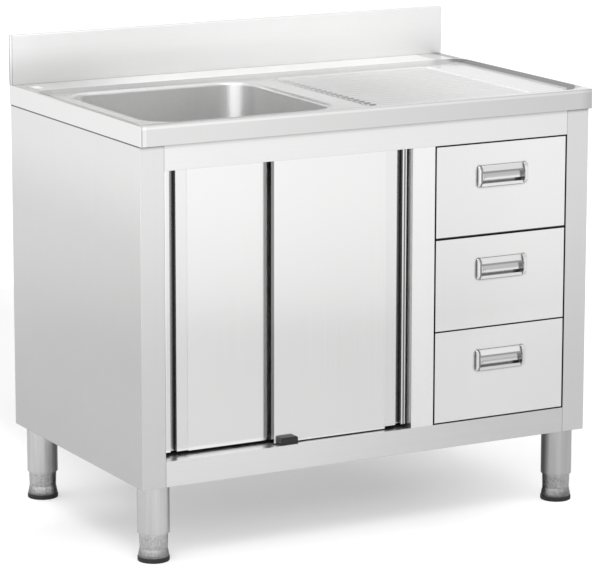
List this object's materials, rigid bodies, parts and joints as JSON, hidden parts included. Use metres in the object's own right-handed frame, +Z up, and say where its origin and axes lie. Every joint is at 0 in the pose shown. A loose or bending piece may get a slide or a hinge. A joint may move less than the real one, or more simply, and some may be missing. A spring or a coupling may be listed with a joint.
{
  "type": "kitchen sink unit",
  "caption": "Free-standing stainless steel sink cabinet with a square bowl, ribbed drainer, upstand, sliding doors, a column of drawers and height-adjustable feet.",
  "frame": {"origin": "on the floor, under the middle of the worktop's outline", "axes": "+X to the right seen from the front, +Y towards the wall, +Z up"},
  "size_m": [1, 0.6, 0.95],
  "materials": {
    "worktop_steel": "satin",
    "bowl_steel": "satin",
    "panel_steel": "brushed",
    "frame_steel": "brushed",
    "door_steel": "fine brushed",
    "drawer_steel": "brushed",
    "leg_steel": "brushed",
    "fitting_steel": "galvanised",
    "handle_chrome": "satin chrome",
    "waste_chrome": "polished",
    "guide_plastic": "moulded",
    "roller_plastic": "moulded",
    "outlet_plastic": "moulded",
    "foot_rubber": "matt",
    "gasket_rubber": "matt"
  },
  "bodies": {
    "cabinet": {"worktop": "worktop_steel", "backsplash": "worktop_steel", "worktop_stiffeners": "worktop_steel", "sink_bowl": "bowl_steel", "waste_flange": "waste_chrome", "waste_gasket": "gasket_rubber", "waste_nut": "outlet_plastic", "waste_tail": "outlet_plastic", "left_side_panel": "panel_steel", "right_side_panel": "panel_steel", "rear_panel": "panel_steel", "floor_panel": "panel_steel", "divider_panel": "panel_steel", "left_stile": "frame_steel", "right_stile": "frame_steel", "centre_post": "frame_steel", "top_rail": "frame_steel", "bottom_rail": "frame_steel", "door_jamb": "frame_steel", "door_track": "fitting_steel", "runner_posts": "fitting_steel", "drawer_runners_fixed": "fitting_steel", "leg_plates": "fitting_steel", "door_guide": "guide_plastic", "leg_tubes": "leg_steel"},
    "left_door": {"left_door_pull": "door_steel", "left_door_skin": "door_steel", "left_door_back": "door_steel", "left_door_hangers": "fitting_steel"},
    "left_door_roller_left": {"left_door_roller_left": "roller_plastic"},
    "left_door_roller_right": {"left_door_roller_right": "roller_plastic"},
    "right_door": {"right_door_pull": "door_steel", "right_door_skin": "door_steel", "right_door_back": "door_steel", "right_door_hangers": "fitting_steel"},
    "right_door_roller_left": {"right_door_roller_left": "roller_plastic"},
    "right_door_roller_right": {"right_door_roller_right": "roller_plastic"},
    "drawer_1": {"drawer_1_front": "drawer_steel", "drawer_1_box": "drawer_steel", "drawer_1_handle": "handle_chrome", "drawer_1_runner_moving": "fitting_steel"},
    "drawer_1_runner_middle": {"drawer_1_runner_middle": "fitting_steel"},
    "drawer_2": {"drawer_2_front": "drawer_steel", "drawer_2_box": "drawer_steel", "drawer_2_handle": "handle_chrome", "drawer_2_runner_moving": "fitting_steel"},
    "drawer_2_runner_middle": {"drawer_2_runner_middle": "fitting_steel"},
    "drawer_3": {"drawer_3_front": "drawer_steel", "drawer_3_box": "drawer_steel", "drawer_3_handle": "handle_chrome", "drawer_3_runner_moving": "fitting_steel"},
    "drawer_3_runner_middle": {"drawer_3_runner_middle": "fitting_steel"},
    "foot_front_left": {"foot_front_left_insert": "leg_steel", "foot_front_left_pad": "foot_rubber"},
    "foot_front_right": {"foot_front_right_insert": "leg_steel", "foot_front_right_pad": "foot_rubber"},
    "foot_rear_left": {"foot_rear_left_insert": "leg_steel", "foot_rear_left_pad": "foot_rubber"},
    "foot_rear_right": {"foot_rear_right_insert": "leg_steel", "foot_rear_right_pad": "foot_rubber"}
  },
  "joints": [
    {"name": "left_door_slide", "type": "slide", "parent": "cabinet", "child": "left_door", "axis": [1, 0, 0], "range_m": [0, 0.2255]},
    {"name": "left_door_roller_left_spin", "type": "hinge", "parent": "left_door", "child": "left_door_roller_left", "pos_m": [-0.372, -0.2499, 0.7993], "axis": [0, 1, 0], "range_deg": [0, 1620]},
    {"name": "left_door_roller_right_spin", "type": "hinge", "parent": "left_door", "child": "left_door_roller_right", "pos_m": [-0.1945, -0.2499, 0.7993], "axis": [0, 1, 0], "range_deg": [0, 1620]},
    {"name": "right_door_slide", "type": "slide", "parent": "cabinet", "child": "right_door", "axis": [1, 0, 0], "range_m": [-0.2255, 0]},
    {"name": "right_door_roller_left_spin", "type": "hinge", "parent": "right_door", "child": "right_door_roller_left", "pos_m": [-0.1465, -0.2719, 0.7993], "axis": [0, 1, 0], "range_deg": [-1620, 0]},
    {"name": "right_door_roller_right_spin", "type": "hinge", "parent": "right_door", "child": "right_door_roller_right", "pos_m": [0.031, -0.2719, 0.7993], "axis": [0, 1, 0], "range_deg": [-1620, 0]},
    {"name": "drawer_1_slide", "type": "slide", "parent": "cabinet", "child": "drawer_1", "axis": [0, -1, 0], "range_m": [0, 0.45]},
    {"name": "drawer_1_runner_middle_slide", "type": "slide", "parent": "cabinet", "child": "drawer_1_runner_middle", "axis": [0, -1, 0], "range_m": [0, 0.225]},
    {"name": "drawer_2_slide", "type": "slide", "parent": "cabinet", "child": "drawer_2", "axis": [0, -1, 0], "range_m": [0, 0.45]},
    {"name": "drawer_2_runner_middle_slide", "type": "slide", "parent": "cabinet", "child": "drawer_2_runner_middle", "axis": [0, -1, 0], "range_m": [0, 0.225]},
    {"name": "drawer_3_slide", "type": "slide", "parent": "cabinet", "child": "drawer_3", "axis": [0, -1, 0], "range_m": [0, 0.45]},
    {"name": "drawer_3_runner_middle_slide", "type": "slide", "parent": "cabinet", "child": "drawer_3_runner_middle", "axis": [0, -1, 0], "range_m": [0, 0.225]},
    {"name": "foot_front_left_height", "type": "slide", "parent": "cabinet", "child": "foot_front_left", "axis": [0, 0, -1], "range_m": [-0.015, 0.03]},
    {"name": "foot_front_right_height", "type": "slide", "parent": "cabinet", "child": "foot_front_right", "axis": [0, 0, -1], "range_m": [-0.015, 0.03]},
    {"name": "foot_rear_left_height", "type": "slide", "parent": "cabinet", "child": "foot_rear_left", "axis": [0, 0, -1], "range_m": [-0.015, 0.03]},
    {"name": "foot_rear_right_height", "type": "slide", "parent": "cabinet", "child": "foot_rear_right", "axis": [0, 0, -1], "range_m": [-0.015, 0.03]}
  ],
  "couplings": [
    {"joint": "left_door_roller_left_spin", "follows": "left_door_slide", "rad_per_m": 125},
    {"joint": "left_door_roller_right_spin", "follows": "left_door_slide", "rad_per_m": 125},
    {"joint": "right_door_roller_left_spin", "follows": "right_door_slide", "rad_per_m": 125},
    {"joint": "right_door_roller_right_spin", "follows": "right_door_slide", "rad_per_m": 125},
    {"joint": "drawer_1_runner_middle_slide", "follows": "drawer_1_slide", "ratio": 0.5},
    {"joint": "drawer_2_runner_middle_slide", "follows": "drawer_2_slide", "ratio": 0.5},
    {"joint": "drawer_3_runner_middle_slide", "follows": "drawer_3_slide", "ratio": 0.5}
  ]
}
